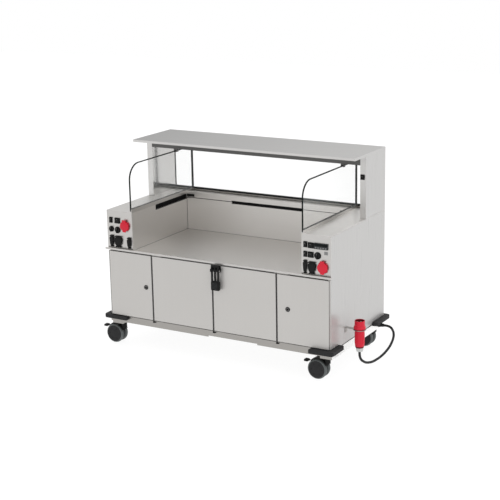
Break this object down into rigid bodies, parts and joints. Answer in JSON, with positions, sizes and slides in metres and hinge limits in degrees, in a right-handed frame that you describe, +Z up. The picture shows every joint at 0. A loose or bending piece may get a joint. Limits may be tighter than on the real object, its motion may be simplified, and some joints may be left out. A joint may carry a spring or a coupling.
{
  "type": "steam table unit",
  "caption": "Mobile stainless serving station with a recessed worktop well, glass side screens, top shelf, hinged doors, castors and a plugged mains lead.",
  "frame": {"origin": "middle of the footprint at floor level, without the mains lead", "axes": "+X to the operator's right along the counter, +Y towards the guest side, +Z up"},
  "size_m": [1.8536, 0.849, 1.308],
  "materials": {
    "brushed_steel": "fine brushed stainless, satin",
    "mirror_steel": "bright rolled stainless, glossy",
    "shelf_steel": "satin stainless",
    "zinc_sheet": "zinc coated sheet, dull",
    "beam_metal": "dark anodised",
    "black_plastic": "moulded, fine grain",
    "black_rubber": "moulded rubber, matt",
    "tyre_grey": "soft wheel tread",
    "red_plastic": "moulded, semi-gloss",
    "clear_glass": "clear toughened"
  },
  "bodies": {
    "cabinet": {"base_frame": "brushed_steel", "left_side_panel": "brushed_steel", "right_side_panel": "brushed_steel", "carcass": "zinc_sheet", "worktop": "mirror_steel", "well_liner": "mirror_steel", "left_tower_cover": "brushed_steel", "right_tower_cover": "brushed_steel", "superstructure": "shelf_steel", "hood_beam": "beam_metal", "rear_glass_rail": "black_plastic", "rear_glass": "clear_glass", "left_side_glass": "clear_glass", "right_side_glass": "clear_glass", "extraction_unit": "zinc_sheet", "power_box": "zinc_sheet", "front_left_bumper": "black_rubber", "front_right_bumper": "black_rubber", "rear_left_bumper": "black_rubber", "rear_right_bumper": "black_rubber", "cable_gland": "black_plastic", "power_cord": "black_rubber", "mains_plug": "red_plastic", "plug_holder": "brushed_steel", "temperature_controller": "black_plastic"},
    "left_door": {"left_door": "brushed_steel"},
    "left_door_lock": {"left_door_lock": "black_plastic"},
    "centre_left_door": {"centre_left_door": "brushed_steel"},
    "centre_right_door": {"centre_right_door": "brushed_steel", "handle_bracket": "black_plastic"},
    "right_door": {"right_door": "brushed_steel"},
    "right_door_lock": {"right_door_lock": "black_plastic"},
    "handle_lever": {"handle_lever": "black_plastic"},
    "front_left_castor": {"front_left_castor_fork": "black_plastic"},
    "front_left_wheels": {"front_left_castor_wheels": "tyre_grey"},
    "front_left_brake": {"front_left_castor_brake": "black_plastic"},
    "front_right_castor": {"front_right_castor_fork": "black_plastic"},
    "front_right_wheels": {"front_right_castor_wheels": "tyre_grey"},
    "front_right_brake": {"front_right_castor_brake": "black_plastic"},
    "rear_left_castor": {"rear_left_castor_fork": "black_plastic"},
    "rear_left_wheels": {"rear_left_castor_wheels": "tyre_grey"},
    "rear_right_castor": {"rear_right_castor_fork": "black_plastic"},
    "rear_right_wheels": {"rear_right_castor_wheels": "tyre_grey"},
    "left_outer_switch": {"left_outer_switch": "black_plastic"},
    "left_inner_switch": {"left_inner_switch": "black_plastic"},
    "right_upper_inner_switch": {"right_upper_inner_switch": "black_plastic"},
    "right_upper_outer_switch": {"right_upper_outer_switch": "black_plastic"},
    "right_lower_inner_switch": {"right_lower_inner_switch": "black_plastic"},
    "right_lower_outer_switch": {"right_lower_outer_switch": "black_plastic"},
    "lamp_switch": {"lamp_switch": "black_plastic"},
    "left_outer_knob": {"left_outer_knob": "black_plastic"},
    "left_inner_knob": {"left_inner_knob": "black_plastic"},
    "right_knob": {"right_knob": "black_plastic"},
    "left_outer_socket_lid": {"left_outer_socket_lid": "black_plastic"},
    "left_middle_socket_lid": {"left_middle_socket_lid": "black_plastic"},
    "left_inner_socket_lid": {"left_inner_socket_lid": "black_plastic"},
    "right_inner_socket_lid": {"right_inner_socket_lid": "black_plastic"},
    "right_outer_socket_lid": {"right_outer_socket_lid": "black_plastic"},
    "left_power_lid": {"left_power_lid": "red_plastic"},
    "right_power_lid": {"right_power_lid": "red_plastic"}
  },
  "joints": [
    {"name": "left_door_hinge", "type": "hinge", "parent": "cabinet", "child": "left_door", "pos_m": [-0.788, -0.379, 0.43], "axis": [0, 0, -1], "range_deg": [0, 110]},
    {"name": "left_door_lock_turn", "type": "hinge", "parent": "left_door", "child": "left_door_lock", "pos_m": [-0.518, -0.3865, 0.4305], "axis": [0, 1, 0], "range_deg": [0, 90]},
    {"name": "centre_left_door_hinge", "type": "hinge", "parent": "cabinet", "child": "centre_left_door", "pos_m": [-0.4575, -0.379, 0.43], "axis": [0, 0, -1], "range_deg": [0, 110]},
    {"name": "centre_right_door_hinge", "type": "hinge", "parent": "cabinet", "child": "centre_right_door", "pos_m": [0.4175, -0.379, 0.43], "axis": [0, 0, 1], "range_deg": [0, 110]},
    {"name": "right_door_hinge", "type": "hinge", "parent": "cabinet", "child": "right_door", "pos_m": [0.774, -0.379, 0.43], "axis": [0, 0, 1], "range_deg": [0, 110]},
    {"name": "right_door_lock_turn", "type": "hinge", "parent": "right_door", "child": "right_door_lock", "pos_m": [0.505, -0.3865, 0.4305], "axis": [0, -1, 0], "range_deg": [0, 90]},
    {"name": "handle_lever_pull", "type": "hinge", "parent": "centre_right_door", "child": "handle_lever", "pos_m": [0.015, -0.4115, 0.615], "axis": [-1, 0, 0], "range_deg": [0, 25]},
    {"name": "front_left_castor_swivel", "type": "hinge", "parent": "cabinet", "child": "front_left_castor", "pos_m": [-0.763, -0.3065, 0.12], "axis": [0, 0, 1], "continuous": true},
    {"name": "front_left_wheel_spin", "type": "hinge", "parent": "front_left_castor", "child": "front_left_wheels", "pos_m": [-0.819, -0.3065, 0.0625], "axis": [0, 1, 0], "continuous": true},
    {"name": "front_left_brake_press", "type": "hinge", "parent": "front_left_castor", "child": "front_left_brake", "pos_m": [-0.864, -0.3065, 0.1015], "axis": [0, -1, 0], "range_deg": [0, 12]},
    {"name": "front_right_castor_swivel", "type": "hinge", "parent": "cabinet", "child": "front_right_castor", "pos_m": [0.729, -0.3065, 0.12], "axis": [0, 0, 1], "continuous": true},
    {"name": "front_right_wheel_spin", "type": "hinge", "parent": "front_right_castor", "child": "front_right_wheels", "pos_m": [0.673, -0.3065, 0.0625], "axis": [0, 1, 0], "continuous": true},
    {"name": "front_right_brake_press", "type": "hinge", "parent": "front_right_castor", "child": "front_right_brake", "pos_m": [0.628, -0.3065, 0.1015], "axis": [0, -1, 0], "range_deg": [0, 12]},
    {"name": "rear_left_castor_swivel", "type": "hinge", "parent": "cabinet", "child": "rear_left_castor", "pos_m": [-0.763, 0.3615, 0.12], "axis": [0, 0, 1], "continuous": true},
    {"name": "rear_left_wheel_spin", "type": "hinge", "parent": "rear_left_castor", "child": "rear_left_wheels", "pos_m": [-0.819, 0.3615, 0.0625], "axis": [0, 1, 0], "continuous": true},
    {"name": "rear_right_castor_swivel", "type": "hinge", "parent": "cabinet", "child": "rear_right_castor", "pos_m": [0.729, 0.3615, 0.12], "axis": [0, 0, 1], "continuous": true},
    {"name": "rear_right_wheel_spin", "type": "hinge", "parent": "rear_right_castor", "child": "rear_right_wheels", "pos_m": [0.673, 0.3615, 0.0625], "axis": [0, 1, 0], "continuous": true},
    {"name": "left_outer_switch_rock", "type": "hinge", "parent": "cabinet", "child": "left_outer_switch", "pos_m": [-0.7855, -0.371, 0.842], "axis": [1, 0, 0], "range_deg": [-9, 9]},
    {"name": "left_inner_switch_rock", "type": "hinge", "parent": "cabinet", "child": "left_inner_switch", "pos_m": [-0.735, -0.371, 0.8415], "axis": [1, 0, 0], "range_deg": [-9, 9]},
    {"name": "right_upper_inner_switch_rock", "type": "hinge", "parent": "cabinet", "child": "right_upper_inner_switch", "pos_m": [0.6155, -0.371, 0.842], "axis": [1, 0, 0], "range_deg": [-9, 9]},
    {"name": "right_upper_outer_switch_rock", "type": "hinge", "parent": "cabinet", "child": "right_upper_outer_switch", "pos_m": [0.6515, -0.371, 0.8395], "axis": [1, 0, 0], "range_deg": [-9, 9]},
    {"name": "right_lower_inner_switch_rock", "type": "hinge", "parent": "cabinet", "child": "right_lower_inner_switch", "pos_m": [0.6155, -0.371, 0.7835], "axis": [1, 0, 0], "range_deg": [-9, 9]},
    {"name": "right_lower_outer_switch_rock", "type": "hinge", "parent": "cabinet", "child": "right_lower_outer_switch", "pos_m": [0.651, -0.371, 0.7825], "axis": [1, 0, 0], "range_deg": [-9, 9]},
    {"name": "lamp_switch_rock", "type": "hinge", "parent": "cabinet", "child": "lamp_switch", "pos_m": [0.7595, 0.11, 1.165], "axis": [1, 0, 0], "range_deg": [-9, 9]},
    {"name": "left_outer_knob_turn", "type": "hinge", "parent": "cabinet", "child": "left_outer_knob", "pos_m": [-0.784, -0.3715, 0.783], "axis": [0, 1, 0], "range_deg": [0, 270]},
    {"name": "left_inner_knob_turn", "type": "hinge", "parent": "cabinet", "child": "left_inner_knob", "pos_m": [-0.736, -0.3715, 0.78], "axis": [0, 1, 0], "range_deg": [0, 270]},
    {"name": "right_knob_turn", "type": "hinge", "parent": "cabinet", "child": "right_knob", "pos_m": [0.696, -0.3715, 0.781], "axis": [0, 1, 0], "range_deg": [0, 270]},
    {"name": "left_outer_socket_lid_hinge", "type": "hinge", "parent": "cabinet", "child": "left_outer_socket_lid", "pos_m": [-0.782, -0.3765, 0.739], "axis": [-1, 0, 0], "range_deg": [0, 100], "stiffness_Nm_per_rad": 0.02, "springref_deg": -20.05},
    {"name": "left_middle_socket_lid_hinge", "type": "hinge", "parent": "cabinet", "child": "left_middle_socket_lid", "pos_m": [-0.7305, -0.3765, 0.737], "axis": [-1, 0, 0], "range_deg": [0, 100], "stiffness_Nm_per_rad": 0.02, "springref_deg": -20.05},
    {"name": "left_inner_socket_lid_hinge", "type": "hinge", "parent": "cabinet", "child": "left_inner_socket_lid", "pos_m": [-0.647, -0.3765, 0.735], "axis": [-1, 0, 0], "range_deg": [0, 100], "stiffness_Nm_per_rad": 0.02, "springref_deg": -20.05},
    {"name": "right_inner_socket_lid_hinge", "type": "hinge", "parent": "cabinet", "child": "right_inner_socket_lid", "pos_m": [0.615, -0.3765, 0.743], "axis": [-1, 0, 0], "range_deg": [0, 100], "stiffness_Nm_per_rad": 0.02, "springref_deg": -20.05},
    {"name": "right_outer_socket_lid_hinge", "type": "hinge", "parent": "cabinet", "child": "right_outer_socket_lid", "pos_m": [0.6605, -0.3765, 0.737], "axis": [-1, 0, 0], "range_deg": [0, 100], "stiffness_Nm_per_rad": 0.02, "springref_deg": -20.05},
    {"name": "left_power_lid_hinge", "type": "hinge", "parent": "cabinet", "child": "left_power_lid", "pos_m": [-0.676, -0.3795, 0.848], "axis": [-1, 0, 0], "range_deg": [0, 100], "stiffness_Nm_per_rad": 0.08, "springref_deg": -20.05},
    {"name": "right_power_lid_hinge", "type": "hinge", "parent": "cabinet", "child": "right_power_lid", "pos_m": [0.731, -0.3795, 0.75], "axis": [-1, 0, 0], "range_deg": [0, 100], "stiffness_Nm_per_rad": 0.08, "springref_deg": -20.05}
  ]
}
